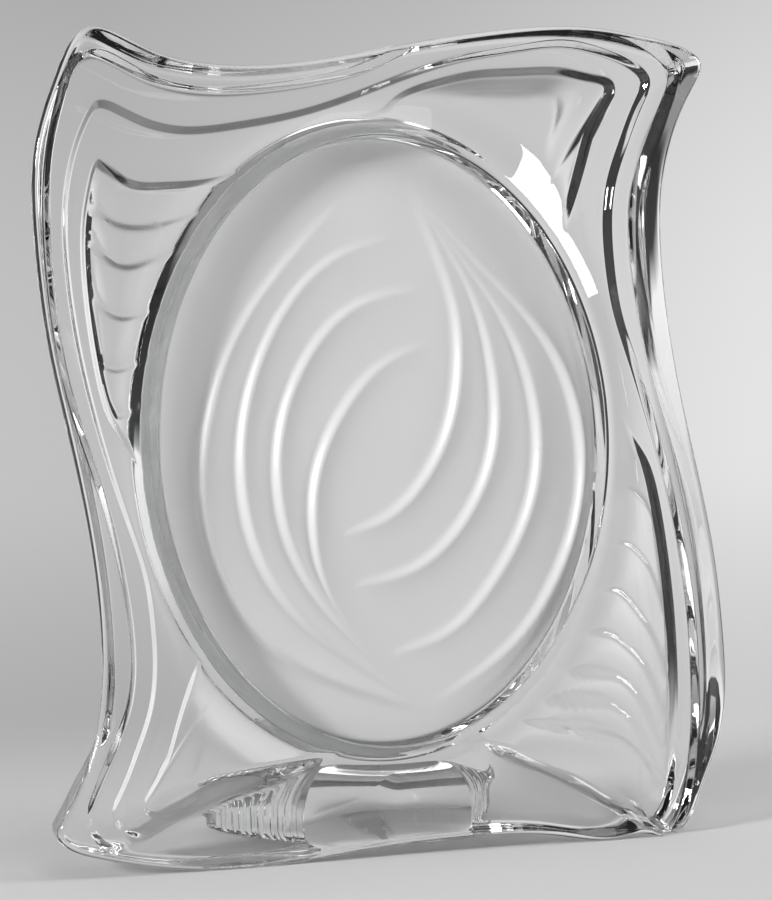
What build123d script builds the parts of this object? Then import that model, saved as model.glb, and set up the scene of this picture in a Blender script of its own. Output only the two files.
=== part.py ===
from build123d import *
import math
import os

# Crystal-glass picture frame, free standing, with a satin oval insert.
# World frame: +Z up, the front looks along -Y, X to the viewer's right.
# The plate leans back. Sections of it are drawn on planes parallel to its front.

os.makedirs("parts", exist_ok=True)

# ---------------------------------------------------------------- driving dimensions, mm
lean = 7.0                    # how far the plate leans back, degrees
glass_thickness = 18.0        # front plane to back plane
centre_height = 100.4         # middle of the oval above the table
centre_back = -14.09          # Y of the middle of the oval on the front plane

back_edge_chamfer = 2.0       # bevel along the outer back edge

border_step = 1.9             # depth of the first terrace under the outer band
middle_step = 1.9             # depth of the second terrace under the first
panel_step = 2.4              # depth of the corner panels under the second terrace
inner_panel_step = 1.0        # depth of the bevelled field inside a plain panel

bore_half_width = 57.6        # oval opening, seen from the front
bore_half_height = 74.2
rim_land = 2.0                # width of the raised rim round the oval, at its top
rim_flare = 3.0               # how much further the rim's outer wall spreads at its foot
rim_drop = 1.0                # top of the rim under the front plane
rim_round = 0.8               # rounding of the rim's top edges

seat_depth = 9.2              # front plane to the ledge that the insert rests on
seat_width = 2.3              # how far the rear recess stands outside the opening

insert_fit = 0.4              # gap all round the insert, in the opening and in the recess
insert_seat_gap = 0.3         # gap between the insert's flange and the ledge
insert_face_depth = 7.4       # front plane to the insert's plain face
insert_flange = 2.2           # thickness of the flange
insert_back_hollow = 1.4      # depth of the shallow tray in the insert's back
insert_wall = 3.0             # width of the flange left round that tray

flute_rise = 1.3              # height of the insert's swirl ridges over its face
flute_width = 6.0             # width of a swirl ridge at its middle
fan_rise = 1.1                # height of the fan ridges over a corner panel
fan_width = 4.0               # width of a fan ridge at its middle

foot_reach = 40.5             # back of the foot behind the middle of the oval
foot_neck_half = 19.0         # half width of the foot where it leaves the plate
foot_flank_bow = 4.0          # how far its flanks stand out half way back
foot_half_width = 36.0        # half width of the foot at its rear end
foot_end_height = 7.0         # height of the foot's rear end
foot_top_height = 18.5        # height at which the foot meets the plate's back
foot_bend_share = 0.3         # where its top bends, as a share of its length
foot_bend_rise = 4.0          # height of that bend over the rear end's
foot_corner = 7.0             # radius of its rear corners, seen from above

# ---------------------------------------------------------------- planes of the plate
lean_radians = math.radians(lean)
front_normal = (0, -math.cos(lean_radians), math.sin(lean_radians))
plate = Plane(origin=(0, centre_back, centre_height), x_dir=(1, 0, 0), z_dir=front_normal)
rim_half_width = bore_half_width + rim_land
rim_half_height = bore_half_height + rim_land
recess_half_width = bore_half_width + seat_width
recess_half_height = bore_half_height + seat_width
insert_back_depth = seat_depth + insert_seat_gap + insert_flange
foot_back = centre_back + foot_reach
back_at_foot = (
    centre_back + glass_thickness / math.cos(lean_radians)
    - (centre_height - foot_top_height) * math.tan(lean_radians)
)
foot_tail = foot_back - back_at_foot


def at_depth(depth):
    """The plane that lies so far behind the front plane."""
    return plate.offset(-depth)


# ---------------------------------------------------------------- outlines, from the middle
# Points are (across, up) on the plate, from the middle of the oval, clockwise from the left.
# Most of the lower half is the upper half after half a turn.
outer_top = [
    (-80.2, 3), (-84.8, 28), (-86.8, 52), (-85.6, 74), (-79.5, 91), (-74.5, 99.5), (-70.5, 101.8),
    (-65, 100.4), (-55, 95.6), (-42.5, 92.6), (-17.1, 92.7), (9, 96.5), (35.4, 99.8), (60, 99.9),
    (78, 96.1), (85.5, 92.8), (87.4, 90.4), (85.8, 86.4), (80.2, 76.5), (75.6, 62), (74.4, 44.5),
    (76.2, 21),
]
outer_arch = [(56, -100.9), (39.8, -99.0), (17, -97.8), (-9, -98.9), (-36, -101.2)]
arch_start = 8
arch_end = 13

border_top = [
    (-75.9, 0.5), (-80.1, 15.6), (-83.0, 36), (-83.6, 56), (-82.3, 72), (-78.5, 86), (-73.5, 94.4),
    (-70.6, 95.2), (-66, 93.8), (-57, 89), (-44, 85.9), (-30, 86), (-12, 88.3), (2, 92.2),
    (15, 98.5), (38, 103.5), (54, 103.5), (63, 100.6), (71.5, 96.4), (77.5, 91.3), (79.3, 87.6),
    (77.6, 81), (73, 71.5), (68.2, 60), (66.8, 46), (68.5, 29.7), (72.1, 12.2),
]
border_low_right = [
    (75.9, -0.5), (80.1, -15.6), (83, -36), (83.8, -54), (83.2, -70), (81, -84), (76, -96),
    (66, -106), (0, -112), (-54, -106),
]
border_left_from = 17

middle_top = [
    (-72.3, 5), (-75, 17), (-77.3, 31), (-78.6, 46), (-78.3, 60), (-75.8, 71.5), (-72.2, 79.8),
    (-69.3, 83.2), (-64.4, 81.9), (-57, 78.4), (-48.3, 76.6), (-36, 77.3), (-16.4, 80.6),
    (9, 88.7), (23.1, 92.6), (38, 94.9), (52.3, 95.9), (62.9, 93.3), (70, 89.9), (72.6, 87),
    (70.6, 81), (66.4, 72), (62.8, 63), (61, 53.5), (61, 41.3), (62.5, 29), (65.7, 18),
]
middle_low_right = [
    (72.3, -5), (75, -17), (77.3, -31), (78.9, -46), (79.3, -60), (78.8, -75), (77, -88),
    (72, -100), (58, -108), (0, -110), (-50, -102),
]
middle_left_from = 17

fluted_top_left = [
    (-56, -8), (-60.5, -7), (-64.5, -0.5), (-69, 7), (-71.8, 16.5), (-73.5, 28.5), (-74.5, 42),
    (-74.2, 54), (-72.2, 64.2), (-69.2, 70.1), (-64.4, 66.6), (-53.2, 64.2), (-38, 65.6), (-30, 66),
    (-28, 62), (-44, 40),
]
fluted_low_right = [
    (56, 8), (60.5, 7), (64.5, 0.5), (69, -7), (71.8, -16.5), (73.5, -28.5), (74.7, -42),
    (75.2, -56), (74.9, -70), (73.6, -84), (71.2, -94), (67, -98.5), (58, -95.5), (48, -89.5),
    (36, -83), (24, -77), (20, -70), (40, -45), (50, -15),
]
plain_panel = [
    (-5.6, 75), (-5.6, 77.3), (1.6, 80.3), (6.6, 83.6), (17, 87.6), (28, 89.7), (40, 90.2),
    (51.5, 90), (59.4, 88.3), (64.4, 86.2), (64.6, 83.6), (60.5, 77), (56.6, 68), (53, 58),
    (51, 50), (48, 49), (30, 63),
]
inner_field = [
    (20, 74), (22, 80.5), (34, 83), (47.3, 81.6), (48.4, 79), (47.6, 72), (45.2, 62), (42, 60),
    (30, 66),
]
apron = [
    (-95, -95), (-75, -95), (-61.2, -90.9), (-52.2, -87.2), (-45.8, -84.7), (-36.3, -82.5),
    (-18.6, -76.5), (0, -72), (20, -76.5), (36, -85), (50, -92), (60, -97.5), (70, -103),
    (60, -112), (-60, -112), (-95, -108),
]

# Middle lines of the fan ridges in the upper left panel and in the lower right one:
# each starts at the rim, passes a point on its way and ends in the panel's corner.
fan_top_left = [
    ((-59, 14), (-69, 34), (-72, 58)), ((-54.5, 27), (-66.5, 42), (-71.2, 61)),
    ((-50, 37), (-63, 48), (-70.4, 64)), ((-43.5, 48), (-58, 54), (-69, 66)),
    ((-37, 57), (-52, 59), (-66.5, 66.5)),
]
fan_low_right = [
    ((57, -24), (69, -44), (73, -74)), ((53, -38), (67, -56), (72.4, -80)),
    ((47, -51), (63, -64), (71.6, -86)), ((41, -61), (58.5, -71), (70.6, -91)),
    ((33, -69.5), (52, -77.5), (69, -94.5)),
]

# Crests of the insert's swirl on one half; half a turn gives the other half.
swirl = [
    ((9.5, 65), (53.5, 2), (10.5, -64.3)), ((10.5, 61), (40.5, -2), (-4.8, -53.6)),
    ((11.5, 57), (31, -1), (-12, -36.8)), ((12.5, 53), (21.5, 9), (-14.5, -23.4)),
]


def turned(points):
    """The same points after half a turn about the middle of the oval."""
    return [(-across, -up) for across, up in points]


def closed_outline(points):
    """One smooth closed curve through the points, for make_face in a sketch."""
    with BuildLine(Plane.XY) as outline:
        Spline(*points, periodic=True)
    return outline.line


def leaf(crest, width):
    """A leaf between two arcs that share their ends, either side of the crest's middle point."""
    start, middle_point, end = crest
    run = (end[0] - start[0], end[1] - start[1])
    length = math.hypot(*run)
    shift = (width / 2 * run[1] / length, -width / 2 * run[0] / length)
    with BuildLine(Plane.XY) as edge:
        ThreePointArc(start, (middle_point[0] + shift[0], middle_point[1] + shift[1]), end)
        ThreePointArc(end, (middle_point[0] - shift[0], middle_point[1] - shift[1]), start)
    return edge.line


# ---------------------------------------------------------------- levels and outlines
border_level = border_step
middle_level = border_level + middle_step
panel_level = middle_level + panel_step
field_level = panel_level + inner_panel_step
outer = outer_top + turned(outer_top)[:arch_start] + outer_arch + turned(outer_top)[arch_end:]
border = border_top + border_low_right + turned(border_top)[border_left_from:]
middle = middle_top + middle_low_right + turned(middle_top)[middle_left_from:]


# ---------------------------------------------------------------- the glass
with BuildPart() as rim:
    with BuildSketch(at_depth(field_level)):
        Ellipse(rim_half_width + rim_flare, rim_half_height + rim_flare)
    with BuildSketch(at_depth(rim_drop)):
        Ellipse(rim_half_width, rim_half_height)
    loft()
    fillet(rim.edges().group_by(Axis(plate.origin, plate.z_dir))[-1], rim_round)

with BuildPart() as foot:
    with BuildSketch(Plane.YZ):
        with BuildLine():
            Polyline(
                (centre_back, 0), (foot_back, 0), (foot_back, foot_end_height),
                (back_at_foot + foot_tail * foot_bend_share, foot_end_height + foot_bend_rise),
                (back_at_foot, foot_top_height), (centre_back, foot_top_height), close=True,
            )
        make_face()
    extrude(amount=foot_half_width, both=True)
    with BuildSketch():
        with BuildLine():
            flank = ThreePointArc(
                (foot_neck_half, centre_back),
                (foot_neck_half + foot_flank_bow, back_at_foot + foot_tail / 2),
                (foot_half_width, foot_back - foot_corner),
            )
            corner = RadiusArc(flank @ 1, (foot_half_width - foot_corner, foot_back), -foot_corner)
            Line(corner @ 1, (0, foot_back))
            Line((0, foot_back), (0, centre_back))
            Line((0, centre_back), flank @ 0)
        make_face()
        mirror(about=Plane.YZ)
    extrude(amount=foot_top_height, mode=Mode.INTERSECT)

with BuildPart() as glass_frame:
    # the block, cut off level where it stands on the table
    with BuildSketch(plate):
        make_face(closed_outline(outer))
    extrude(amount=-glass_thickness)
    block_faces = glass_frame.faces().sort_by(Axis(plate.origin, plate.z_dir))
    chamfer(block_faces[0].edges(), back_edge_chamfer)
    with BuildSketch():
        Rectangle(4 * rim_half_width, 4 * rim_half_width)
    extrude(amount=-glass_thickness, mode=Mode.SUBTRACT)
    # the terraces, which stop at the base apron
    with BuildSketch(plate):
        make_face(closed_outline(border))
        make_face(closed_outline(apron), mode=Mode.SUBTRACT)
    extrude(amount=-border_level, mode=Mode.SUBTRACT)
    with BuildSketch(plate):
        make_face(closed_outline(middle))
        make_face(closed_outline(apron), mode=Mode.SUBTRACT)
    extrude(amount=-middle_level, mode=Mode.SUBTRACT)
    with BuildSketch(plate):
        for panel in (fluted_top_left, fluted_low_right, plain_panel, turned(plain_panel)):
            make_face(closed_outline(panel))
        make_face(closed_outline(apron), mode=Mode.SUBTRACT)
    extrude(amount=-panel_level, mode=Mode.SUBTRACT)
    with BuildSketch(at_depth(panel_level)):
        for field in (inner_field, turned(inner_field)):
            make_face(closed_outline(field))
    extrude(amount=-inner_panel_step, mode=Mode.SUBTRACT)
    # the fan ridges on two of the corner panels
    with BuildSketch(at_depth(panel_level)):
        for crest in fan_top_left + fan_low_right:
            make_face(leaf(crest, fan_width))
    extrude(amount=fan_rise)
    # the rim, the oval opening and the wider recess behind it
    add(rim.part)
    with BuildSketch(plate):
        Ellipse(bore_half_width, bore_half_height)
    extrude(amount=-glass_thickness, mode=Mode.SUBTRACT)
    with BuildSketch(at_depth(seat_depth)):
        Ellipse(recess_half_width, recess_half_height)
    extrude(amount=-(glass_thickness - seat_depth), mode=Mode.SUBTRACT)
    add(foot.part)

# ---------------------------------------------------------------- the insert
with BuildPart() as frosted_insert:
    with BuildSketch(at_depth(insert_face_depth)):
        Ellipse(bore_half_width - insert_fit, bore_half_height - insert_fit)
    extrude(amount=-(insert_back_depth - insert_face_depth))
    with BuildSketch(at_depth(seat_depth + insert_seat_gap)):
        Ellipse(recess_half_width - insert_fit, recess_half_height - insert_fit)
    extrude(amount=-insert_flange)
    # the swirl in relief
    with BuildSketch(at_depth(insert_face_depth)):
        for crest in swirl:
            make_face(leaf(crest, flute_width))
            make_face(leaf(turned(crest), flute_width))
    extrude(amount=flute_rise)
    # the shallow tray in its back
    with BuildSketch(at_depth(insert_back_depth)):
        Ellipse(bore_half_width - insert_wall, bore_half_height - insert_wall)
    extrude(amount=insert_back_hollow, mode=Mode.SUBTRACT)

for piece, name in ((glass_frame, "glass_frame"), (frosted_insert, "frosted_insert")):
    piece.part.label = name
    export_step(piece.part, f"parts/{name}.step")
    print(name, piece.part.is_valid, round(piece.part.volume), piece.part.bounding_box())
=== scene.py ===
"""A pressed crystal photo frame with a satin oval insert, standing on a pale studio sweep.

Every form but the rear foot is laid out on the leaning plate: (across, up) in millimetres from the middle
of the oval, and a depth behind the plate's front plane. Rows run round the oval like the rings of a
ripple, on rays from its middle. The rear foot is laid out upright, side to side and back to front.
"""
import math

import bpy
import numpy as np
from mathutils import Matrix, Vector


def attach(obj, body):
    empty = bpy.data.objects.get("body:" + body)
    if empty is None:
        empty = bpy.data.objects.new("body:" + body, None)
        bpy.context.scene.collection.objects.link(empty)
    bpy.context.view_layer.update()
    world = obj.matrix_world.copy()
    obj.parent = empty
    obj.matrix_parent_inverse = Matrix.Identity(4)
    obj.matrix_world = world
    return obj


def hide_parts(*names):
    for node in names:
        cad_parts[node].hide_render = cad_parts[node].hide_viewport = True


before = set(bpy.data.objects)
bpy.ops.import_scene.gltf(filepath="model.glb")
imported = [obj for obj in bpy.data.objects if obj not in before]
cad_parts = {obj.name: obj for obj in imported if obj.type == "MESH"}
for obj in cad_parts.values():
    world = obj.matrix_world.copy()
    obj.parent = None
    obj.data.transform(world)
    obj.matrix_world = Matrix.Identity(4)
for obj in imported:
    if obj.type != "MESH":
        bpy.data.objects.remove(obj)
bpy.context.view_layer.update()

MM = 0.001

# ---------------------------------------------------------------- sizes of the piece, mm
LEAN = math.radians(7.0)
CENTRE_HEIGHT = 100.4
CENTRE_BACK = -14.09
THICKNESS = 18.0
BORDER_STEP = 1.9
MIDDLE_STEP = 1.9
PANEL_STEP = 2.4
FIELD_STEP = 1.7
BORE = (57.6, 74.2)
RIM_LAND = 2.0
RIM_DROP = 1.0
RIM_EDGE = 0.8
RIM_SLOPE = 0.55
RIM_BEND_PLACE = 0.1
RIM_BEND_EASE = 0.5
RIM_FILLET = 1.6
SEAT_DEPTH = 9.2
SEAT_WIDTH = 2.3
FRONT_EDGE = 1.4
BACK_EDGE = 2.2
# The sides narrow by the first share of the depth, and where they face left by the second on top.
TAPER_LEAST = 0.07
TAPER_LEFT = 0.24
# Where a terrace edge has its rows: distances out from it as shares of its wall's width.
STEP_PLACES = (-0.72, -0.56, -0.44, -0.22, 0.22, 0.44, 0.56, 0.72)
BORDER_WALL = 2.2
MIDDLE_WALL = 1.6
PANEL_WALL = 1.6
PANEL_INSET = 0.75
STEP_EASE = 0.1
BEVEL_FULL_WIDTH = 4.0
APRON_RISE = 5.0
APRON_DISH = 2.2
APRON_DISH_WIDTH = 15.0

INSERT_FIT = 0.4
INSERT_FACE = 7.4
INSERT_SEAT_GAP = 0.3
INSERT_FLANGE = 2.2
INSERT_HOLLOW = 1.4
INSERT_WALL = 3.0
# A flute's height, how far it dies away on its hollow side, and how soon it falls on the other.
FLUTE_RISE = 1.9
FLUTE_REACH = 3.6
FLUTE_DROP = 1.5
CREST_EASE = 0.25
FAN_RISE = 1.7
FAN_REACH = 5.5
FAN_DROP = 1.0
FAN_MARGIN = 1.5
# How many reaches away a flute still counts, and over how many it dies away past its ends.
FLUTE_MARGIN = 3
END_REACH = 0.5

FOOT_BACK = CENTRE_BACK + 40.2
FOOT_NECK = 22.0
FOOT_HALF_WIDTH = 38.5
FOOT_END_HEIGHT = 7.0
FOOT_TOP = 21.5
# Above the upright part the section narrows by this share over the narrowing height.
FOOT_TOP_SHARE = 0.3
FOOT_UPRIGHT = 9
FOOT_NARROWING = FOOT_TOP - 7
FOOT_SLIDE = 1.15
FOOT_CORNER = 6.0
FOOT_SQUARENESS = 0.28
FOOT_START = 5
FOOT_END_ROUND = 2.5
FOOT_END_DROP = 2.2
# The ribs come in from this share of the half width, over the second share.
FOOT_FLANK = (0.8, 0.15)
FLANK_START = 6
RIB_PITCH = 1.6
RIB_DEPTH = 0.32
RIB_LEAST = 2.1
RIB_ALONG = 0.9
# The ribs' sway: how far, and how fast with height. The slower wave: its share, stretch and start.
RIB_WANDER = (0.9, 0.35)
RIB_SLOW = (0.7, 1.7, 1.3)

# ---------------------------------------------------------------- rows and columns of the surfaces
COLUMNS = 760
# Rim rows go by the distance out from the bore, and shares by the way to the next edge.
RIM_FOOT_STEP = RIM_LAND + 3.4
RIM_STEPS = (0.0, 0.08, 0.24, 0.48, 0.8, 1.3, 1.8, 2.15, 2.5, 2.9, 3.4, 3.9, 4.5, RIM_FOOT_STEP)
PANEL_SHARES = np.linspace(0.05, 0.96, 22)
MIDDLE_SHARES = (0.3, 0.6, 0.9)
BORDER_SHARES = (0.35, 0.7)
LEAST_ROW_GAP = 0.03
LEAST_SPAN = 1e-4
KEPT_TOLERANCE = 0.03
MOST_SLANT = 2.6
# Degrees round the edges, and shares of the way down the side and in over the back.
FRONT_TURNS = (20, 40, 60, 78, 90)
SIDE_SHARES = (0.2, 0.45, 0.7, 1)
BACK_TURNS = (12, 26, 42, 58, 72, 82, 90)
BACK_SHARES = (0.25, 0.55, 0.9, 1)
RECESS_LIP = 0.6
# Distance out from the recess wall, and depth.
RECESS_ROWS = ((0.25, 17.85), (0.05, 17.5), (0, 16.8), (0, 13), (0, SEAT_DEPTH + 0.3), (0, SEAT_DEPTH))
BORE_DEPTHS = (SEAT_DEPTH, SEAT_DEPTH - 0.2, 7.5, 5, 3, RIM_DROP + RIM_EDGE + 0.4)
FAR_AWAY = 1e3
FOOT_ROWS = 120
FOOT_COLUMNS = 140
FOOT_END_TURNS = np.linspace(0.12, 0.5, 9) * math.pi
SATIN_COLUMNS = 640
SATIN_SHARES = np.linspace(0.008, 1, 124)[:, None]
SATIN_EDGE = 0.8
# Distance in from the face's outline, and depth behind the face.
SATIN_EDGE_ROWS = ((0.45, 0.08), (0.2, 0.25), (0.05, 0.5), (0, SATIN_EDGE))
SATIN_RIM_SHARE = 0.05
SHARP_ANGLE = math.radians(50)

# ---------------------------------------------------------------- outlines, (across, up) on the plate
OUTER_TOP = [
    (-80.2, 3), (-84.8, 28), (-86.8, 52), (-85.6, 74), (-79.5, 91), (-74.5, 99.5), (-70.5, 101.8),
    (-65, 100.4), (-55, 95.6), (-42.5, 92.6), (-17.1, 92.7), (9, 96.5), (35.4, 99.8), (60, 99.9),
    (78, 96.1), (85.5, 92.8), (87.4, 90.4), (85.8, 86.4), (80.2, 76.5), (75.6, 62), (74.4, 44.5),
    (76.2, 21),
]
OUTER_ARCH = [(56, -100.9), (39.8, -99.0), (17, -97.8), (-9, -98.9), (-36, -101.2)]
ARCH_START = 8
ARCH_END = 13
BORDER_TOP = [
    (-75.9, 0.5), (-80.1, 15.6), (-83.0, 36), (-83.6, 56), (-82.3, 72), (-78.5, 86), (-73.5, 94.4),
    (-70.6, 95.2), (-66, 93.8), (-57, 89), (-44, 85.9), (-30, 86), (-12, 88.3), (2, 92.2),
    (15, 98.5), (38, 103.5), (54, 103.5), (63, 100.6), (71.5, 96.4), (77.5, 91.3), (79.3, 87.6),
    (77.6, 81), (73, 71.5), (68.2, 60), (66.8, 46), (68.5, 29.7), (72.1, 12.2),
]
BORDER_LOW_RIGHT = [
    (75.9, -0.5), (80.1, -15.6), (83, -36), (83.8, -54), (83.2, -70), (81, -84), (76, -96),
    (66, -106), (0, -112), (-54, -106),
]
MIDDLE_TOP = [
    (-72.3, 5), (-75, 17), (-77.3, 31), (-78.6, 46), (-78.3, 60), (-75.8, 71.5), (-72.2, 79.8),
    (-69.3, 83.2), (-64.4, 81.9), (-57, 78.4), (-48.3, 76.6), (-36, 77.3), (-16.4, 80.6),
    (9, 88.7), (23.1, 92.6), (38, 94.9), (52.3, 95.9), (62.9, 93.3), (70, 89.9), (72.6, 87),
    (70.6, 81), (66.4, 72), (62.8, 63), (61, 53.5), (61, 41.3), (62.5, 29), (65.7, 18),
]
MIDDLE_LOW_RIGHT = [
    (72.3, -5), (75, -17), (77.3, -31), (78.9, -46), (79.3, -60), (78.8, -75), (77, -88),
    (72, -100), (58, -108), (0, -110), (-50, -102),
]
LEFT_FROM = 17
FLUTED_TOP_LEFT = [
    (-56, -8), (-60.5, -7), (-64.5, -0.5), (-69, 7), (-71.8, 16.5), (-73.5, 28.5), (-74.5, 42),
    (-74.2, 54), (-72.2, 64.2), (-69.2, 70.1), (-64.4, 66.6), (-53.2, 64.2), (-38, 65.6), (-30, 66),
    (-28, 62), (-44, 40),
]
FLUTED_LOW_RIGHT = [
    (56, 8), (60.5, 7), (64.5, 0.5), (69, -7), (71.8, -16.5), (73.5, -28.5), (74.7, -42),
    (75.2, -56), (74.9, -70), (73.6, -84), (71.2, -94), (67, -98.5), (58, -95.5), (48, -89.5),
    (36, -83), (24, -77), (20, -70), (40, -45), (50, -15),
]
PLAIN_PANEL = [
    (-5.6, 75), (-5.6, 77.3), (1.6, 80.3), (6.6, 83.6), (17, 87.6), (28, 89.7), (40, 90.2),
    (51.5, 90), (59.4, 88.3), (64.4, 86.2), (64.6, 83.6), (60.5, 77), (56.6, 68), (53, 58),
    (50.2, 51.5), (46, 46), (38, 46), (30, 60),
]
INNER_FIELD = [
    (-2, 75), (5, 78.2), (16, 81.6), (30, 83.4), (43, 83.4), (49.6, 82.4), (50, 80.5), (48.6, 74),
    (45.6, 64), (43, 55), (40, 52), (30, 60),
]
APRON = [
    (-95, -95), (-75, -95), (-61.2, -90.9), (-52.2, -87.2), (-45.8, -84.7), (-36.3, -82.5),
    (-18.6, -76.5), (0, -72), (20, -76.5), (36, -85), (50, -92), (60, -97.5), (70, -103),
    (60, -112), (-60, -112), (-95, -108),
]

# Crests of the fan flutes, from the rim round to the panel's corner.
FAN_TOP_LEFT = [
    [(-38, 59.4), (-51, 55.4), (-62, 54.4), (-68.5, 57.6), (-72.6, 66)],
    [(-46, 50.2), (-56.8, 46.3), (-63.3, 44.9), (-69.5, 48.5), (-73.2, 62)],
    [(-52, 37), (-61, 32.9), (-67.2, 33.2), (-71.4, 39), (-73.6, 55)],
    [(-57, 25.5), (-64, 20.5), (-69, 20.5), (-72, 27), (-73.8, 44)],
    [(-60.5, 13.5), (-66, 9), (-69.6, 9.6), (-71.8, 15), (-73.4, 30)],
]
FAN_LOW_RIGHT = [
    [(28, -69.5), (44, -73), (58, -76), (66, -83), (70.5, -93)],
    [(32, -66), (45, -66.5), (57, -68), (63, -73), (71, -90)],
    [(38.4, -60), (50, -60), (60, -62), (66, -69), (71.8, -86)],
    [(46, -51.7), (55, -50.5), (61.5, -53.5), (68, -62), (73, -80)],
    [(51, -42), (58, -40), (64, -44), (70, -54), (74.2, -72)],
    [(54.5, -31), (60, -28.5), (66, -31), (71.5, -43), (74.8, -60)],
    [(57.5, -18), (62, -15), (67, -17), (71.5, -27), (74.3, -44)],
]

# Crests of the insert's swirl: the right-hand family and the left-hand one, outermost first.
SWIRL_RIGHT = [
    [(9.5, 63), (28.4, 42.4), (48.8, 17), (52.6, -17.1), (42, -41.3), (26.7, -56.6), (10.5, -66)],
    [(10.8, 60.9), (25.7, 41.2), (38.1, 21), (41, -11.5), (24.6, -40.9), (9.7, -50.7), (-4.8, -53.6)],
    [(11.5, 60.1), (23.1, 41.3), (30.1, 21.3), (30, -3.6), (12, -29.9), (-1.3, -34.6), (-14.4, -35.9)],
    [(12, 58.9), (19.1, 41.4), (22.2, 21.5), (18.5, 1.9), (4.7, -17.2), (-6, -21.9), (-15.1, -23.6)],
]
SWIRL_LEFT = [
    [(10.4, -66.3), (-12.8, -58), (-32.8, -44.6), (-45.4, -14), (-41.8, 11.7), (-29.3, 35.5), (-7, 58.3)],
    [(9.1, -65.7), (-14.9, -48.1), (-34.5, -15), (-32.9, 11.3), (-15.5, 40.4), (-2.9, 47), (7.6, 49.6)],
    [(7.8, -65.1), (-12.1, -43.3), (-25.6, -15), (-24.2, 6.1), (-10.5, 28.5), (1.7, 34.6), (13.6, 36.6)],
    [(6.5, -64.6), (-9.9, -44.8), (-17.5, -20.5), (-15.7, -6.5), (-3, 14), (7.7, 20.8), (14.3, 23.1)],
]

# ---------------------------------------------------------------- the photograph's view
PHOTO_SIZE = (772, 900)
VIEW_YAW = math.radians(20)
VIEW_DROP = math.radians(7)
VIEW_DISTANCE = 1150
VIEW_FOCAL_PIXELS = 4715
VIEW_CENTRE_PIXEL = (382, 441)
VIEW_TARGET_DEPTH = 5
SENSOR = 36.0

# ---------------------------------------------------------------- the studio
# Painted light and shade: the tones the paper glows in where it is seen, by heading, metres across over
# metres onwards, from about where the camera stands. The dark ends are painted shade, the white is a
# painted lit wall, and the grey rising to light is a painted falloff of the studio light.
VIEW_PLACE = (-0.39, -1.07)
PAINTED_SWEEP_TONES = (
    (-0.3, 0.02), (-0.1, 0.02), (-0.03, 0.95), (0.215, 0.98), (0.262, 0.55), (0.3, 0.53), (0.38, 0.62),
    (0.46, 0.78), (0.485, 0.74), (0.525, 0.02), (1.0, 0.02),
)
# Eased changes with height or with distance onwards: from and to in metres, and the value at each. The
# painted light fades with height, grows onwards, and further onwards takes over from the lit paper.
PAINTED_FADE_BY_HEIGHT = (0.0, 0.5, 1, 0.28)
PAINTED_GLOW_BY_DISTANCE = (0.05, 0.7, 0.76, 1)
PAINTED_GLOW_SHARE_BY_DISTANCE = (0.02, 0.2, 0, 1)
LAMP_AIM = (0, 0, 0.1)
# Lamps: name, place and size in metres, and power in watts.
LAMPS = (
    ("top_box", (0.4, -0.25, 1.4), (1.6, 0.9), 6),
    ("left_box", (-2.1, -0.75, 0.9), (0.4, 0.4), 50),
    ("right_box", (1.0, -0.3, 0.6), (0.4, 0.4), 5),
)
# Tones of the room by how high a direction points, 0 at the horizon and 1 straight above.
ROOM_TONES = ((0.0, 0.5), (0.08, 0.46), (0.2, 0.34), (0.42, 0.26), (0.7, 0.42), (1.0, 0.6))


# ================================================================ curves and surfaces
def turned(points):
    """The same points after half a turn about the middle of the oval."""
    return [(-across, -up) for across, up in points]


def closed_curve(points, per_span=90):
    """Points along a closed curve through the given ones: a periodic cubic spline, whose parameter is the
    straight distance from point to point and whose bend is continuous all round."""
    p = np.array(points, float)
    after = np.roll(p, -1, 0)
    span = np.linalg.norm(after - p, axis=1)
    before_span = np.roll(span, 1)
    slope = (after - p) / span[:, None]
    count = len(p)
    index = np.arange(count)
    system = np.zeros((count, count))
    system[index, index] = 2 * (span + before_span)
    system[index, (index + 1) % count] += span
    system[index, (index - 1) % count] += before_span
    bend = np.linalg.solve(system, 6 * (slope - np.roll(slope, 1, 0)))
    bend_after = np.roll(bend, -1, 0)
    h = span[:, None, None]
    t = h * np.linspace(0, 1, per_span, endpoint=False)[None, :, None]
    a, b = p[:, None, :], after[:, None, :]
    m, n = bend[:, None, :], bend_after[:, None, :]
    bent = m * (h - t) ** 3 / (6 * h) + n * t ** 3 / (6 * h)
    out = bent + (a / h - m * h / 6) * (h - t) + (b / h - n * h / 6) * t
    return out.reshape(-1, 2)


def open_curve(points, count=220):
    """Evenly spaced points along a smooth open curve: the closed spline runs through the points there and
    back, and the way out is kept."""
    per_span = 60
    there_and_back = list(points) + list(points[-2:0:-1])
    curve = closed_curve(there_and_back, per_span)
    half = curve[: per_span * (len(points) - 1) + 1]
    walked = np.concatenate([[0], np.cumsum(np.linalg.norm(np.diff(half, axis=0), axis=1))])
    at = np.linspace(0, walked[-1], count)
    return np.stack([np.interp(at, walked, half[:, 0]), np.interp(at, walked, half[:, 1])], 1)


def ellipse_radius(half_width, half_height, angle):
    """Distance from the middle to an ellipse on the ray at this angle: one over the root of the squared
    direction cosines, each over its own half axis."""
    return 1 / np.sqrt((np.cos(angle) / half_width) ** 2 + (np.sin(angle) / half_height) ** 2)


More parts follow.
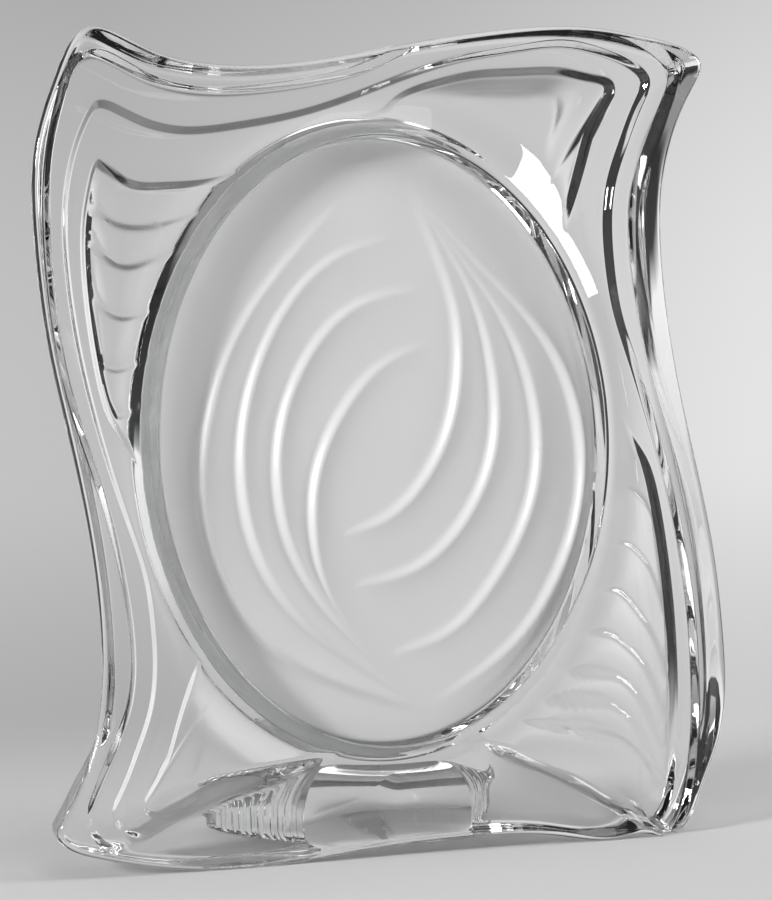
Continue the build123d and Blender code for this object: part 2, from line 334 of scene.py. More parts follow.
def moved_outline(points, out):
    """A smooth outline moved square to itself, outwards by a distance, without the loops that the move
    makes inside tight corners: a point stays only if the outline is nowhere nearer to it than that
    distance."""
    curve = closed_curve(points, 36)
    if out == 0:
        return curve
    tangent = np.roll(curve, -1, 0) - np.roll(curve, 1, 0)
    tangent /= np.linalg.norm(tangent, axis=1)[:, None]
    area = (curve[:, 0] * tangent[:, 1] - curve[:, 1] * tangent[:, 0]).sum()
    outward = np.stack([tangent[:, 1], -tangent[:, 0]], 1) * math.copysign(1, area)
    moved = curve + out * outward
    square = (moved ** 2).sum(1)[:, None] + (curve ** 2).sum(1)[None, :] - 2 * moved @ curve.T
    return moved[square.min(1) > (abs(out) - KEPT_TOLERANCE) ** 2]


def ray_radius(points, angle, out=0.0):
    """Distance to an outline that goes round the middle, on the rays at these angles."""
    curve = moved_outline(points, out)
    turn = np.arctan2(curve[:, 1], curve[:, 0])
    order = np.argsort(turn)
    return np.interp(angle, turn[order], np.linalg.norm(curve, axis=1)[order], period=2 * math.pi)


def far_radius(points, angle, out=0.0):
    """Distance to the far side of an outline that stands beside the middle, 0 on the rays that miss it."""
    curve = moved_outline(points, out)
    middle = curve.mean(0)
    heading = math.atan2(middle[1], middle[0])
    turn = (np.arctan2(curve[:, 1], curve[:, 0]) - heading + math.pi) % (2 * math.pi) - math.pi
    radius = np.linalg.norm(curve, axis=1)
    first, last = int(turn.argmin()), int(turn.argmax())
    count = len(curve)
    forward = np.arange(first, first + (last - first) % count + 1) % count
    backward = np.arange(last, last + (first - last) % count + 1) % count
    run = forward if radius[forward].mean() > radius[backward].mean() else backward
    order = run[np.argsort(turn[run])]
    asked = (angle - heading + math.pi) % (2 * math.pi) - math.pi
    return np.interp(asked, turn[order], radius[order], left=0, right=0)


def slant(radius, angle):
    """How much longer a step along the ray is than the same step square to the outline, which is the root
    of one plus the squared share by which the radius changes with the angle, and how far the outline faces
    right (1) or left (-1)."""
    change = (np.roll(radius, -1) - np.roll(radius, 1)) / (2 * (angle[1] - angle[0])) / radius
    factor = np.sqrt(1 + change ** 2)
    sideways = (np.cos(angle) + change * np.sin(angle)) / factor
    factor = (np.roll(factor, 1) + factor + np.roll(factor, -1)) / 3
    return np.minimum(factor, MOST_SLANT), sideways


def soft_ramp(x, width, ease):
    """0 before the ramp and 1 after it, straight between, with both bends eased: the half difference of
    two roots, each of a squared distance plus the squared ease, one from the ramp's start and one from its
    end, as a share of the width."""
    before = np.sqrt(x ** 2 + ease ** 2)
    after = np.sqrt((x - width) ** 2 + ease ** 2)
    return (before - after + width) / (2 * width)


def soft_least(a, b, ease):
    """The smaller of two depths, with the crease between them filled over about the ease."""
    return (a + b - np.sqrt((a - b) ** 2 + ease ** 2)) / 2


def smooth_share(x):
    """0 below 0, 1 above 1, and three squares less two cubes between."""
    x = np.clip(x, 0, 1)
    return x * x * (3 - 2 * x)


def flutes(across, up, crests, rise, reach, drop, outward=1.0, from_rim=False):
    """Height of a family of flutes. Each point takes its place from the nearest point of every crest. On
    one side of the crest the height dies away over the reach in a hollow curve, and on the other it falls
    over the short drop; outward tells the sides apart. Both shrink to nothing at the crest's ends, or
    only at its far end for flutes that spring from the rim. The tallest flute wins."""
    place = np.stack([across, up], -1).reshape(-1, 2)
    height = np.zeros(len(place))
    for crest in crests:
        line = open_curve(crest)
        tangent = np.gradient(line, axis=0)
        tangent /= np.linalg.norm(tangent, axis=1)[:, None]
        low, high = line.min(0) - FLUTE_MARGIN * reach, line.max(0) + FLUTE_MARGIN * reach
        near = np.all((place > low) & (place < high), axis=1)
        gap = place[near][:, None, :] - line[None, :, :]
        nearest = (gap ** 2).sum(-1).argmin(1)
        away = gap[np.arange(len(nearest)), nearest]
        tan = tangent[nearest]
        side = outward * (tan[:, 1] * away[:, 0] - tan[:, 0] * away[:, 1])
        along = nearest / (len(line) - 1)
        beyond = (away * tan).sum(1)
        ends = np.exp(-(beyond / (END_REACH * reach)) ** 2)
        if from_rim:
            taper = np.sqrt(np.cos(math.pi / 2 * along ** 4)) * ends
        else:
            taper = np.sin(math.pi * along) * ends
        behind = np.exp((CREST_EASE - np.sqrt(side ** 2 + CREST_EASE ** 2)) / reach)
        profile = np.where(side < 0, behind, np.exp(-(side / drop) ** 2))
        height[near] = np.maximum(height[near], rise * taper * profile)
    return height.reshape(across.shape)


# ================================================================ meshes
def on_plate(across, up, depth):
    """World millimetres of a point on the leaning plate, never below the table."""
    x = across
    y = CENTRE_BACK + up * math.sin(LEAN) + depth * math.cos(LEAN)
    z = CENTRE_HEIGHT + up * math.cos(LEAN) - depth * math.sin(LEAN)
    return np.stack([x, y, np.maximum(z, 0)], -1)


def add_mesh(name, places, faces):
    """A smooth mesh object from world millimetres."""
    mesh = bpy.data.meshes.new(name)
    mesh.from_pydata((places * MM).tolist(), [], faces)
    mesh.validate()
    piece = bpy.data.objects.new(name, mesh)
    bpy.context.scene.collection.objects.link(piece)
    mesh.polygons.foreach_set("use_smooth", np.ones(len(mesh.polygons), bool))
    return piece


def grid_faces(rows, columns, close_rows):
    """Four-sided faces over a grid of rows round closed columns, numbered row by row."""
    row = np.arange(rows if close_rows else rows - 1)[:, None]
    column = np.arange(columns)[None, :]
    a = row * columns + column
    b = row * columns + (column + 1) % columns
    c = (row + 1) % rows * columns + (column + 1) % columns
    d = (row + 1) % rows * columns + column
    return np.stack((a, b, c, d), -1).reshape(-1, 4).tolist()


def end_faces(rows, columns):
    """Three-sided faces that close such a grid at both ends, each round a pole numbered after the grid."""
    last, pole = (rows - 1) * columns, rows * columns
    faces = []
    for column in range(columns):
        after = (column + 1) % columns
        faces.append([after, column, pole])
        faces.append([last + column, last + after, pole + 1])
    return faces


def step_share(radius, edges, wall):
    """How far a point has come down a terrace edge, 1 inside it and 0 outside: the soft ramp of a wall
    that wide, read at a few distances either side of the edge and joined by straight runs along the
    ray."""
    shares = 1 - soft_ramp(np.array(STEP_PLACES) * wall + wall / 2, wall, STEP_EASE)
    shares = (shares - shares[-1]) / (shares[0] - shares[-1])
    share = np.ones(radius.shape)
    for inner, outer, before, after in zip(edges[:-1], edges[1:], shares[:-1], shares[1:]):
        way = np.clip((radius - inner) / np.maximum(outer - inner, LEAST_SPAN), 0, 1)
        share += (after - before) * way
    return share


def terrace_depth(radius, edges):
    """Depth of the plate's face behind the front plane, without the rim: each terrace edge that lies
    further out adds its own step, the plain panels slope on to their inner field, and near the table the
    steps fade into the smooth apron."""
    stairs = BORDER_STEP * step_share(radius, edges["border"], BORDER_WALL)
    stairs = stairs + MIDDLE_STEP * step_share(radius, edges["middle"], MIDDLE_WALL)
    stairs = stairs + PANEL_STEP * step_share(radius, edges["panel"], PANEL_WALL)
    panel_foot = edges["panel"][0]
    field = np.maximum(edges["field"], edges["rim_foot"] - 1)
    width = panel_foot - field
    bevel = np.clip((panel_foot - radius) / np.maximum(width, 0.5), 0, 1)
    bevel = bevel * np.clip(width / BEVEL_FULL_WIDTH, 0, 1)
    stairs = stairs + np.where(edges["plain"], FIELD_STEP * bevel, 0)
    dish = APRON_DISH * (1 - smooth_share((radius - edges["rim_foot"]) / APRON_DISH_WIDTH))
    terraced = smooth_share((edges["apron"] - radius) / edges["apron_slant"] / APRON_RISE)
    return stairs * terraced + dish * (1 - terraced)


def near_apron(angle):
    """Distance to the apron's upper edge on each ray, far away where the ray never meets it."""
    curve = closed_curve(APRON)
    widest, lowest, nowhere = 90, -104, 400
    top = curve[(np.abs(curve[:, 0]) < widest) & (curve[:, 1] > lowest)]
    turn = np.arctan2(top[:, 1], top[:, 0])
    order = np.argsort(turn)
    radius = np.linalg.norm(top, axis=1)[order]
    return np.interp(angle, turn[order], radius, left=nowhere, right=nowhere)


def face_edges(angle, rim_foot):
    """Every edge of the plate's face on the rays, each terrace edge once for each of its rows."""
    border = BORDER_TOP + BORDER_LOW_RIGHT + turned(BORDER_TOP)[LEFT_FROM:]
    middle = MIDDLE_TOP + MIDDLE_LOW_RIGHT + turned(MIDDLE_TOP)[LEFT_FROM:]
    fluted = (FLUTED_TOP_LEFT, FLUTED_LOW_RIGHT)
    plain = (PLAIN_PANEL, turned(PLAIN_PANEL))
    fields = (INNER_FIELD, turned(INNER_FIELD))
    apron = near_apron(angle)

    def panel_edge(out):
        return np.max([far_radius(panel, angle, out) for panel in fluted + plain], axis=0)

    return {
        "border": np.array([ray_radius(border, angle, place * BORDER_WALL) for place in STEP_PLACES]),
        "middle": np.array([ray_radius(middle, angle, place * MIDDLE_WALL) for place in STEP_PLACES]),
        "panel": np.array([panel_edge(place * PANEL_WALL - PANEL_INSET) for place in STEP_PLACES]),
        "plain": np.max([far_radius(p, angle) for p in plain], axis=0) > 0,
        "field": np.max([far_radius(p, angle) for p in fields], axis=0),
        "rim_foot": rim_foot, "apron": apron, "apron_slant": slant(apron, angle)[0],
    }


def table_radius(angle, depth):
    """Distance along each ray that points down to where the plate, at a depth, meets the table, and far
    away on the others."""
    table_up = (-CENTRE_HEIGHT + depth * math.sin(LEAN)) / math.cos(LEAN)
    down = np.sin(angle) < -0.1
    return np.where(down, table_up / np.where(down, np.sin(angle), -1), FAR_AWAY)


def between(start, end, shares):
    """Rows at these shares of the way from one row to another."""
    return [start + share * (end - start) for share in shares]


def front_rows(angle, edges, band):
    """Rows from the bore to the band, the row at which the outer edge begins to round: steps round the
    rim, every terrace edge's rows, and shares of the way between them. They keep a least gap."""
    rows = [ellipse_radius(BORE[0] + step, BORE[1] + step, angle) for step in RIM_STEPS]
    panel = np.maximum(edges["panel"], edges["rim_foot"])
    rows += between(edges["rim_foot"], panel[0], PANEL_SHARES)
    rows += list(panel)
    rows += between(panel[-1], edges["middle"][0], MIDDLE_SHARES)
    rows += list(edges["middle"])
    rows += between(edges["middle"][-1], edges["border"][0], BORDER_SHARES)
    rows += list(edges["border"])
    rows += between(edges["border"][-1], band, BORDER_SHARES)
    rows.append(band)
    radius = np.array(rows)
    ramp = LEAST_ROW_GAP * np.arange(len(radius))[:, None]
    radius = np.maximum.accumulate(radius - ramp, 0) + ramp
    return np.minimum(radius, band - ramp[::-1])


def front_depth(radius, angle, edges, bore):
    """Depth of the front rows: the smaller of the terraces, less the fans' flutes, and of the rim's land
    and sloping wall, with a fillet between the two, and the rounded edge of the bore."""
    step_out = (radius - bore) / slant(bore, angle)[0]
    past_land = step_out - RIM_LAND - RIM_BEND_PLACE
    rim = RIM_DROP + RIM_SLOPE * (past_land + np.sqrt(past_land ** 2 + RIM_BEND_EASE ** 2)) / 2
    across, up = radius * np.cos(angle), radius * np.sin(angle)
    fans = FAN_TOP_LEFT + FAN_LOW_RIGHT
    fan = flutes(across, up, fans, FAN_RISE, FAN_REACH, FAN_DROP, -1.0, True)
    panel = np.maximum(edges["panel"][2], edges["rim_foot"])
    on_panel = smooth_share((panel - radius) / FAN_MARGIN)
    depth = soft_least(terrace_depth(radius, edges) - fan * on_panel, rim, RIM_FILLET)
    lip = np.clip(RIM_EDGE - step_out, 0, RIM_EDGE)
    return depth + RIM_EDGE - np.sqrt(RIM_EDGE ** 2 - lip ** 2)


def side_rows(angle, outline, edge, front):
    """Rows, each a radius and a depth, round the front edge, down the tapering side and round the back
    edge. The taper is a small share of the depth, and more where the outline faces left."""
    edge_slant, sideways = slant(edge, angle)
    taper = (TAPER_LEAST + TAPER_LEFT * np.clip(-sideways, 0, 1) ** 2) * edge_slant
    rows = []
    for turn in np.radians(FRONT_TURNS):
        radius = edge - FRONT_EDGE * (1 - math.sin(turn)) * edge_slant
        rows.append((radius, front + FRONT_EDGE * (1 - math.cos(turn))))
    side_start = front + FRONT_EDGE
    last = THICKNESS - BACK_EDGE
    for share in SIDE_SHARES:
        at = side_start + share * (last - side_start)
        rows.append((np.minimum(outline - taper * (at - side_start), table_radius(angle, at)), at))
    for turn in np.radians(BACK_TURNS):
        at = THICKNESS - BACK_EDGE * (1 - math.sin(turn)) + 0 * angle
        tapered = taper * (last - side_start + (at - last) * math.cos(turn))
        inset = BACK_EDGE * (1 - math.cos(turn)) * edge_slant + tapered
        rows.append((np.minimum(outline - inset, table_radius(angle, at)), at))
    return rows


def back_rows(angle, back, bore):
    """Rows over the flat back, round the lip of the recess, down its wall, over the ledge and up the
    bore."""
    level = 0 * angle
    recess = ellipse_radius(BORE[0] + SEAT_WIDTH, BORE[1] + SEAT_WIDTH, angle)
    rows = [(back + share * (recess + RECESS_LIP - back), THICKNESS + level) for share in BACK_SHARES]
    rows += [(recess + out, at + level) for out, at in RECESS_ROWS]
    rows += [(bore, at + level) for at in BORE_DEPTHS]
    return rows


def crystal_ring():
    """The pressed plate as one closed surface. Columns are rays from the middle of the oval; rows run
    from the bore over the rim, the panels and terraces, round the outer edge, down the back and through
    the recess."""
    angle = np.linspace(-math.pi, math.pi, COLUMNS, endpoint=False)
    outer = OUTER_TOP + turned(OUTER_TOP)[:ARCH_START] + OUTER_ARCH + turned(OUTER_TOP)[ARCH_END:]
    bore = ellipse_radius(*BORE, angle)
    outline = ray_radius(outer, angle)
    edge = np.minimum(outline, table_radius(angle, 0))
    edges = face_edges(angle, ellipse_radius(BORE[0] + RIM_FOOT_STEP, BORE[1] + RIM_FOOT_STEP, angle))
    front = front_rows(angle, edges, edge - FRONT_EDGE * slant(edge, angle)[0])
    depth = front_depth(front, angle, edges, bore)
    rest = side_rows(angle, outline, edge, depth[-1])
    rest += back_rows(angle, rest[-1][0], bore)
    radius = np.concatenate([front, np.array([row for row, _ in rest])])
    depth = np.concatenate([depth, np.array([row for _, row in rest])])
    places = on_plate(radius * np.cos(angle), radius * np.sin(angle), depth)
    return add_mesh("crystal_ring", places.reshape(-1, 3), grid_faces(len(radius), COLUMNS, True))


def rounded_box_ring(count, half_width, half_height):
    """Points evenly spaced along a rounded box, each side running from -1 to 1: the cosine and the sine
    of a turn, each raised to the squareness with its sign kept."""
    fine = 8001
    turn = np.linspace(0, 2 * math.pi, fine)
    x = np.sign(np.cos(turn)) * np.abs(np.cos(turn)) ** FOOT_SQUARENESS
    z = np.sign(np.sin(turn)) * np.abs(np.sin(turn)) ** FOOT_SQUARENESS
    walked = np.concatenate([[0], np.cumsum(np.hypot(np.diff(x) * half_width, np.diff(z) * half_height))])
    at = np.linspace(0, walked[-1], count, endpoint=False)
    return np.interp(at, walked, x), np.interp(at, walked, z)


def foot_ribs(walked, height):
    """Upright ribs along the foot's flank: a sine wave over the way along it that wanders a little with
    the height, and a slower one."""
    sway = RIB_WANDER[0] * np.sin(height * RIB_WANDER[1])
    share, stretch, start = RIB_SLOW
    rib = np.sin(2 * math.pi * walked / RIB_PITCH + sway)
    return rib + share * np.sin(2 * math.pi * walked / (stretch * RIB_PITCH) + start)


def crystal_foot():
    """The rear foot: upright sections side to side, one behind the other. A section is a rounded box that
    narrows upwards; its half width grows from the neck to the rear and its height falls off like a slide.
    The last sections shrink to close the rear end. Upright ribs crinkle both flanks."""
    plate_back = CENTRE_BACK + THICKNESS / math.cos(LEAN) - (CENTRE_HEIGHT - FOOT_TOP / 2) * math.tan(LEAN)
    start = plate_back - FOOT_START
    ends = len(FOOT_END_TURNS)
    way = np.concatenate([np.linspace(0, 1, FOOT_ROWS), np.full(ends, 1.0)])
    turn = np.concatenate([np.zeros(FOOT_ROWS), FOOT_END_TURNS])
    ring_x, ring_z = rounded_box_ring(FOOT_COLUMNS, FOOT_HALF_WIDTH, FOOT_TOP / 2)
    y = start + way * (FOOT_BACK - FOOT_END_ROUND - start) + FOOT_END_ROUND * np.sin(turn)
    share = np.clip((y - plate_back) / (FOOT_BACK - plate_back), 0, 1)
    half = FOOT_NECK + (FOOT_HALF_WIDTH - FOOT_NECK) * np.sin(math.pi / 2 * share)
    corner = np.clip((y - (FOOT_BACK - FOOT_CORNER)) / FOOT_CORNER, 0, 0.97)
    half = half - FOOT_CORNER * (1 - np.sqrt(1 - corner ** 2))
    top = FOOT_END_HEIGHT + (FOOT_TOP - FOOT_END_HEIGHT) * (1 - share) ** FOOT_SLIDE
    top = top - FOOT_END_DROP * (1 - np.cos(turn))
    z = top[:, None] * (ring_z[None, :] + 1) / 2
    narrow = 1 - FOOT_TOP_SHARE * smooth_share((z - FOOT_UPRIGHT) / FOOT_NARROWING)
    rib = foot_ribs((y + half * RIB_ALONG)[:, None], z)
    flank = smooth_share((np.abs(ring_x) - FOOT_FLANK[0]) / FOOT_FLANK[1])[None, :]
    flank = flank * smooth_share(share * FLANK_START)[:, None]
    x = (half[:, None] * narrow - RIB_DEPTH * flank * (RIB_LEAST + rib)) * ring_x[None, :]
    places = np.stack([x, y[:, None] + 0 * z, z], -1)
    poles = np.array([places[0].mean(0), places[-1].mean(0)])
    faces = grid_faces(len(y), FOOT_COLUMNS, False) + end_faces(len(y), FOOT_COLUMNS)
    return add_mesh("crystal_foot", np.concatenate([places.reshape(-1, 3), poles]), faces)


def turn_outwards(piece):
    """Faces point outwards: the signed volume of a closed mesh is positive."""
    mesh = piece.data
    mesh.calc_loop_triangles()
    place = np.zeros(len(mesh.vertices) * 3)
    mesh.vertices.foreach_get("co", place)
    place = place.reshape(-1, 3)
    corners = np.zeros(len(mesh.loop_triangles) * 3, int)
    mesh.loop_triangles.foreach_get("vertices", corners)
    a, b, c = (place[corners.reshape(-1, 3)[:, k]] for k in range(3))
    if np.einsum("ij,ij->i", a, np.cross(b, c)).sum() < 0:
        mesh.flip_normals()


def crystal():
    """Ring and foot joined into one piece of glass by an exact union, which leaves one closed skin."""
    ring = crystal_ring()
    foot = crystal_foot()
    turn_outwards(ring)
    turn_outwards(foot)
    union = ring.modifiers.new("foot", "BOOLEAN")
    union.operation = "UNION"
    union.solver = "EXACT"
    union.object = foot
    bpy.context.view_layer.update()
    finished = bpy.data.meshes.new_from_object(ring.evaluated_get(bpy.context.evaluated_depsgraph_get()))
    ring.modifiers.clear()
    ring.data = finished
    finished.set_sharp_from_angle(angle=SHARP_ANGLE)
    bpy.data.objects.remove(foot)
    ring.name = "crystal_body"
    finished.name = "crystal_body"
    return ring


def satin_face(face, angle):
    """The swirled face, shares of an ellipse from the middle out: two families of flutes, of which the
    taller wins, and which fade out at the face's edge."""
    across = SATIN_SHARES * (face[0] - SATIN_EDGE) * np.cos(angle)
    up = SATIN_SHARES * (face[1] - SATIN_EDGE) * np.sin(angle)
    right = flutes(across, up, SWIRL_RIGHT, FLUTE_RISE, FLUTE_REACH, FLUTE_DROP)
    left = flutes(across, up, SWIRL_LEFT, FLUTE_RISE, FLUTE_REACH, FLUTE_DROP, -1.0)
    rise = np.maximum(right, left) * smooth_share((1 - SATIN_SHARES) / SATIN_RIM_SHARE)
    return np.stack([across, up, INSERT_FACE - rise], -1)


def satin_insert():
    """The insert as one closed skin of rings round the middle: the swirled face, its edge, the flange
    that sits on the ledge, and the shallow tray in the back. A ring is an ellipse at a share of the face,
    or a set distance in from the ellipse of a size."""
    angle = np.linspace(-math.pi, math.pi, SATIN_COLUMNS, endpoint=False)
    face = (BORE[0] - INSERT_FIT, BORE[1] - INSERT_FIT)
    flange = (BORE[0] + SEAT_WIDTH - INSERT_FIT, BORE[1] + SEAT_WIDTH - INSERT_FIT)
    tray = (BORE[0] - INSERT_WALL, BORE[1] - INSERT_WALL)
    front = SEAT_DEPTH + INSERT_SEAT_GAP
    back = front + INSERT_FLANGE
    floor = back - INSERT_HOLLOW
    rows = [satin_face(face, angle)]
    for inset, at in SATIN_EDGE_ROWS:
        rows.append(ring_row(face, -inset, INSERT_FACE + at, angle))
    for size, inset, at in (
        (face, 0, front - 0.05), (face, 0, front),
        (flange, 0.3, front), (flange, 0.05, front + 0.1), (flange, 0, front + 0.35),
        (flange, 0, back - 0.35), (flange, 0.1, back - 0.08), (flange, 0.35, back),
        (tray, -0.3, back), (tray, 0, back - 0.1), (tray, 0.3, floor + 0.2), (tray, 0.8, floor),
        (tray, 20, floor), (tray, 40, floor), (tray, 53, floor),
    ):
        rows.append(ring_row(size, -inset, at, angle))
    grid = np.concatenate(rows)
    places = on_plate(grid[..., 0], grid[..., 1], grid[..., 2])
    poles = on_plate(np.zeros(2), np.zeros(2), np.array([grid[0, :, 2].mean(), floor]))
    faces = grid_faces(len(places), SATIN_COLUMNS, False) + end_faces(len(places), SATIN_COLUMNS)
    piece = add_mesh("satin_plate", np.concatenate([places.reshape(-1, 3), poles]), faces)
    turn_outwards(piece)
    return piece


def ring_row(size, outset, depth, angle):
    """One elliptical ring at a depth, a set distance outside the ellipse of that size."""
    across = (size[0] + outset) * np.cos(angle)
    up = (size[1] + outset) * np.sin(angle)
    return np.stack([across, up, np.full(angle.shape, depth)], -1)[None]


# ================================================================ finishes
def new_material(name):
    """A node material with its tree and its principled shader, ready to be wired."""
    material = bpy.data.materials.new(name)
    material.use_nodes = True
    tree = material.node_tree
    shader = tree.nodes["Principled BSDF"]
    return material, tree, shader


def crystal_finish():
    """Fire-polished lead crystal: clear, with a slow unevenness of the pressed skin and hardly any
    haze."""
    material, tree, shader = new_material("fire_polished_crystal")
    shader.inputs["Transmission Weight"].default_value = 1.0
    shader.inputs["IOR"].default_value = 1.52
    place = tree.nodes.new("ShaderNodeTexCoord")
    slow = tree.nodes.new("ShaderNodeTexNoise")
    slow.inputs["Scale"].default_value = 38
    slow.inputs["Detail"].default_value = 1
    bump = tree.nodes.new("ShaderNodeBump")
    bump.inputs["Strength"].default_value = 0.05
    bump.inputs["Distance"].default_value = 0.002
    tint = tree.nodes.new("ShaderNodeValToRGB")
    tint.color_ramp.elements[0].color = (0.965, 0.975, 0.972, 1)
    tint.color_ramp.elements[1].color = (1, 1, 1, 1)
    haze = tree.nodes.new("ShaderNodeMapRange")
    haze.inputs["To Min"].default_value = 0.0
    haze.inputs["To Max"].default_value = 0.012
    tree.links.new(place.outputs["Object"], slow.inputs["Vector"])
    tree.links.new(slow.outputs["Fac"], bump.inputs["Height"])
    tree.links.new(slow.outputs["Fac"], tint.inputs["Fac"])
    tree.links.new(slow.outputs["Fac"], haze.inputs["Value"])
    tree.links.new(tint.outputs["Color"], shader.inputs["Base Color"])
    tree.links.new(haze.outputs["Result"], shader.inputs["Roughness"])
    tree.links.new(bump.outputs["Normal"], shader.inputs["Normal"])
    return material


def satin_finish():
    """Acid-etched glass: milky, with a fine even grain and a soft sheen on its ridges."""
    material, tree, shader = new_material("etched_satin")
    shader.inputs["IOR"].default_value = 1.5
    place = tree.nodes.new("ShaderNodeTexCoord")
    grain = tree.nodes.new("ShaderNodeTexNoise")
    grain.inputs["Scale"].default_value = 2200
    grain.inputs["Detail"].default_value = 2
    cloud = tree.nodes.new("ShaderNodeTexNoise")
    cloud.inputs["Scale"].default_value = 22
    tint = tree.nodes.new("ShaderNodeValToRGB")
    tint.color_ramp.elements[0].color = (0.59, 0.59, 0.595, 1)
    tint.color_ramp.elements[1].color = (0.65, 0.65, 0.655, 1)
    bump = tree.nodes.new("ShaderNodeBump")
    bump.inputs["Strength"].default_value = 0.12
    bump.inputs["Distance"].default_value = 0.0001
    gloss = tree.nodes.new("ShaderNodeMapRange")
    gloss.inputs["To Min"].default_value = 0.30
    gloss.inputs["To Max"].default_value = 0.42
    tree.links.new(place.outputs["Object"], grain.inputs["Vector"])
    tree.links.new(place.outputs["Object"], cloud.inputs["Vector"])
    tree.links.new(cloud.outputs["Fac"], tint.inputs["Fac"])
    tree.links.new(grain.outputs["Fac"], bump.inputs["Height"])
    tree.links.new(grain.outputs["Fac"], gloss.inputs["Value"])
    tree.links.new(tint.outputs["Color"], shader.inputs["Base Color"])
    tree.links.new(gloss.outputs["Result"], shader.inputs["Roughness"])
    tree.links.new(bump.outputs["Normal"], shader.inputs["Normal"])
    return material


def dress(piece, material, body, node):
    """Gives a piece its finish, ties it to its body, and hides the CAD part of its node."""
    piece.data.materials.clear()
    piece.data.materials.append(material)
    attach(piece, body)
    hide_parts(node)


# ================================================================ studio
def paper_with_painted_light():
    """Pale paper: lit as paper near the piece, and further off glowing in painted tones where it is seen
    directly, in the glass or through it. The painted tones go by heading from the camera's place: painted
    shade at the far left, a painted white wall, painted grey falloff behind the piece, lighter to its
    right and painted shade beyond, and the painted light fades with height. The paper's back is clear, so
    that a view from behind it shows the piece."""
    material, tree, shader = new_material("paper_with_painted_tones")
    shader.inputs["Roughness"].default_value = 0.75
    shader.inputs["Base Color"].default_value = (0.53, 0.53, 0.53, 1)
    place = tree.nodes.new("ShaderNodeTexCoord")
    split = tree.nodes.new("ShaderNodeSeparateXYZ")
    shifted = arithmetic(tree, "SUBTRACT", split.outputs["X"], VIEW_PLACE[0])
    deep = arithmetic(tree, "SUBTRACT", split.outputs["Y"], VIEW_PLACE[1])
    heading = arithmetic(tree, "DIVIDE", shifted, deep)
    across = tree.nodes.new("ShaderNodeMapRange")
    across.inputs["From Min"].default_value = PAINTED_SWEEP_TONES[0][0]
    across.inputs["From Max"].default_value = PAINTED_SWEEP_TONES[-1][0]
    tone = tone_ramp(tree, PAINTED_SWEEP_TONES)
    # The paper's glow is painted light, not a lamp: its tones are painted light and shade, fading with
    # height.
    painted_glow = tree.nodes.new("ShaderNodeEmission")
    painted_fade = map_range(tree, *PAINTED_FADE_BY_HEIGHT)
    near = map_range(tree, *PAINTED_GLOW_BY_DISTANCE)
    far = map_range(tree, *PAINTED_GLOW_SHARE_BY_DISTANCE)
    share = arithmetic(tree, "MULTIPLY", seen_rays(tree), far.outputs["Result"])
    mix = tree.nodes.new("ShaderNodeMixShader")
    tree.links.new(place.outputs["Object"], split.inputs["Vector"])
    tree.links.new(heading, across.inputs["Value"])
    tree.links.new(across.outputs["Result"], tone.inputs["Fac"])
    tree.links.new(tone.outputs["Color"], painted_glow.inputs["Color"])
    tree.links.new(split.outputs["Z"], painted_fade.inputs["Value"])
    strength = arithmetic(tree, "MULTIPLY", painted_fade.outputs["Result"], near.outputs["Result"])
    tree.links.new(strength, painted_glow.inputs["Strength"])
    tree.links.new(split.outputs["Y"], near.inputs["Value"])
    tree.links.new(split.outputs["Y"], far.inputs["Value"])
    tree.links.new(share, mix.inputs["Fac"])
    tree.links.new(shader.outputs["BSDF"], mix.inputs[1])
    tree.links.new(painted_glow.outputs["Emission"], mix.inputs[2])
    side = tree.nodes.new("ShaderNodeNewGeometry")
    clear = tree.nodes.new("ShaderNodeBsdfTransparent")
    one_sided = tree.nodes.new("ShaderNodeMixShader")
    tree.links.new(side.outputs["Backfacing"], one_sided.inputs["Fac"])
    tree.links.new(mix.outputs["Shader"], one_sided.inputs[1])
    tree.links.new(clear.outputs["BSDF"], one_sided.inputs[2])
    tree.links.new(one_sided.outputs["Shader"], tree.nodes["Material Output"].inputs["Surface"])
    return material


def tone_ramp(tree, tones):
    """A ramp of greys through (place, tone) pairs, its places carried onto 0..1."""
    ramp = tree.nodes.new("ShaderNodeValToRGB")
    low, high = tones[0][0], tones[-1][0]
    while len(ramp.color_ramp.elements) < len(tones):
        ramp.color_ramp.elements.new(0.5)
    for element, (at, tone) in zip(ramp.color_ramp.elements, tones):
        element.position = (at - low) / (high - low)
        element.color = (tone, tone, tone, 1)
    return ramp


def map_range(tree, low, high, to_low, to_high):
    """A node that carries low..high to to_low..to_high with an S-shaped ease."""
    node = tree.nodes.new("ShaderNodeMapRange")
    node.interpolation_type = "SMOOTHSTEP"
    for name, value in zip(("From Min", "From Max", "To Min", "To Max"), (low, high, to_low, to_high)):
        node.inputs[name].default_value = value
    return node


def arithmetic(tree, operation, first, second):
    """The output of a maths node on an output and another output or a number."""
    node = tree.nodes.new("ShaderNodeMath")
    node.operation = operation
    tree.links.new(first, node.inputs[0])
    if isinstance(second, float):
        node.inputs[1].default_value = second
    else:
        tree.links.new(second, node.inputs[1])
    return node.outputs["Value"]


def seen_rays(tree):
    """1 for rays that look at a surface directly, in a reflection or through glass, else 0."""
    path = tree.nodes.new("ShaderNodeLightPath")
    looked_at = arithmetic(tree, "MAXIMUM", path.outputs["Is Camera Ray"], path.outputs["Is Glossy Ray"])
    return arithmetic(tree, "MAXIMUM", looked_at, path.outputs["Is Transmission Ray"])


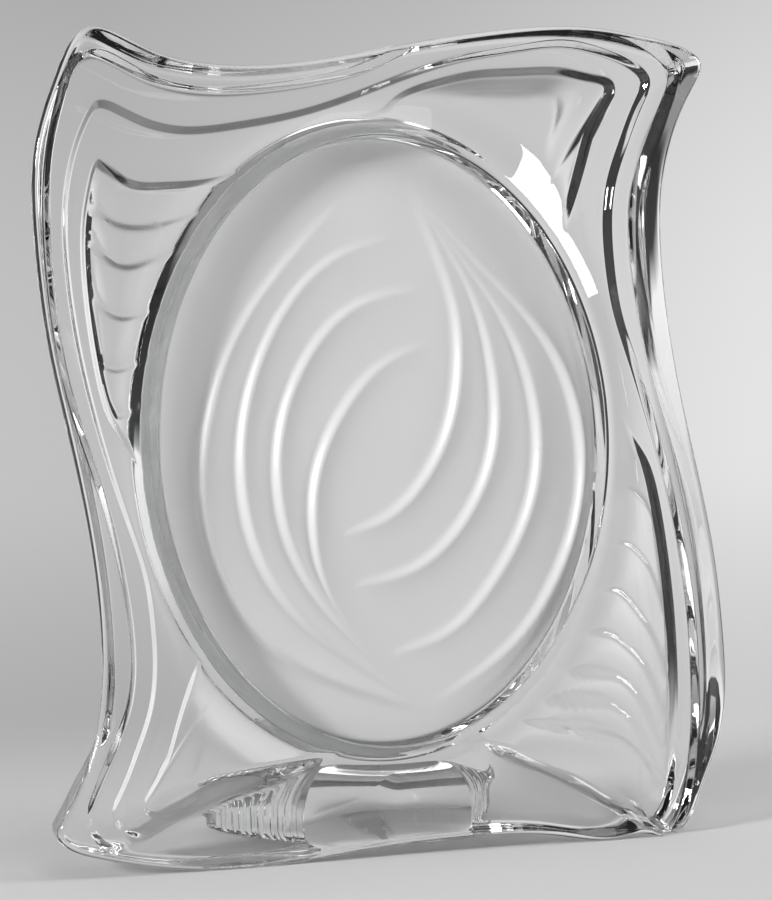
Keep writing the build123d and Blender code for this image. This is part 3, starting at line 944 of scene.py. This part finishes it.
def sweep():
    """Floor and backdrop in one: straight lines across, carried along a floor, a quarter round and a
    wall."""
    back, bend, height, front, half = 1.1, 0.5, 1.3, -2.5, 2.6
    turn = np.linspace(0, math.pi / 2, 40)[1:]
    floor = np.concatenate([[front], np.linspace(-0.5, back - bend, 12)])
    y = np.concatenate([floor, back - bend + bend * np.sin(turn), [back]])
    z = np.concatenate([0 * floor, bend - bend * np.cos(turn), [height]])
    places = np.stack([np.repeat((-half, half), len(y)), np.tile(y, 2), np.tile(z, 2)], -1)
    count = len(y)
    faces = [[k, count + k, count + k + 1, k + 1] for k in range(count - 1)]
    mesh = bpy.data.meshes.new("sweep")
    mesh.from_pydata(places.tolist(), [], faces)
    mesh.polygons.foreach_set("use_smooth", np.ones(len(mesh.polygons), bool))
    piece = bpy.data.objects.new("sweep", mesh)
    bpy.context.scene.collection.objects.link(piece)
    piece.data.materials.append(paper_with_painted_light())


def soft_box(name, place, size, power):
    """A flat lamp of that size in metres, at a place and turned to face the piece."""
    light = bpy.data.lights.new(name, "AREA")
    light.shape = "RECTANGLE"
    light.size, light.size_y = size
    light.energy = power
    lamp = bpy.data.objects.new(name, light)
    bpy.context.scene.collection.objects.link(lamp)
    lamp.location = place
    lamp.rotation_euler = (Vector(LAMP_AIM) - Vector(place)).to_track_quat("-Z", "Y").to_euler()


def studio_light():
    """A wide lamp above, a strong small one at the left and a weak one at the right, in a grey room whose
    tone changes slowly from the horizon up."""
    for name, place, size, power in LAMPS:
        soft_box(name, place, size, power)
    world = bpy.data.worlds.new("room")
    bpy.context.scene.world = world
    world.use_nodes = True
    tree = world.node_tree
    direction = tree.nodes.new("ShaderNodeTexCoord")
    split = tree.nodes.new("ShaderNodeSeparateXYZ")
    ramp = tone_ramp(tree, ROOM_TONES)
    tree.links.new(direction.outputs["Generated"], split.inputs["Vector"])
    tree.links.new(split.outputs["Z"], ramp.inputs["Fac"])
    tree.links.new(ramp.outputs["Color"], tree.nodes["Background"].inputs["Color"])


def photo_camera():
    """The photograph's view: the yaw, the look down and the distance give the place, and the pixel at
    which the middle of the plate lies gives the small shift."""
    level = math.cos(VIEW_DROP)
    toward = Vector((math.sin(VIEW_YAW) * level, math.cos(VIEW_YAW) * level, -math.sin(VIEW_DROP)))
    target = Vector(on_plate(np.array(0.0), np.array(0.0), np.array(float(VIEW_TARGET_DEPTH)))) * MM
    data = bpy.data.cameras.new("photo_camera")
    data.sensor_fit = "HORIZONTAL"
    data.sensor_width = SENSOR
    data.lens = VIEW_FOCAL_PIXELS / PHOTO_SIZE[0] * SENSOR
    data.shift_x = (PHOTO_SIZE[0] / 2 - VIEW_CENTRE_PIXEL[0]) / PHOTO_SIZE[0]
    data.shift_y = (VIEW_CENTRE_PIXEL[1] - PHOTO_SIZE[1] / 2) / PHOTO_SIZE[0]
    data.clip_start = 0.05
    camera = bpy.data.objects.new("photo_camera", data)
    bpy.context.scene.collection.objects.link(camera)
    camera.location = target - toward * VIEW_DISTANCE * MM
    camera.rotation_euler = toward.to_track_quat("-Z", "Y").to_euler()
    bpy.context.scene.camera = camera


# ================================================================ the scene
bpy.context.scene.view_settings.view_transform = "Standard"
photo_camera()
sweep()
studio_light()
dress(crystal(), crystal_finish(), "frame", "glass_frame")
dress(satin_insert(), satin_finish(), "insert", "frosted_insert")
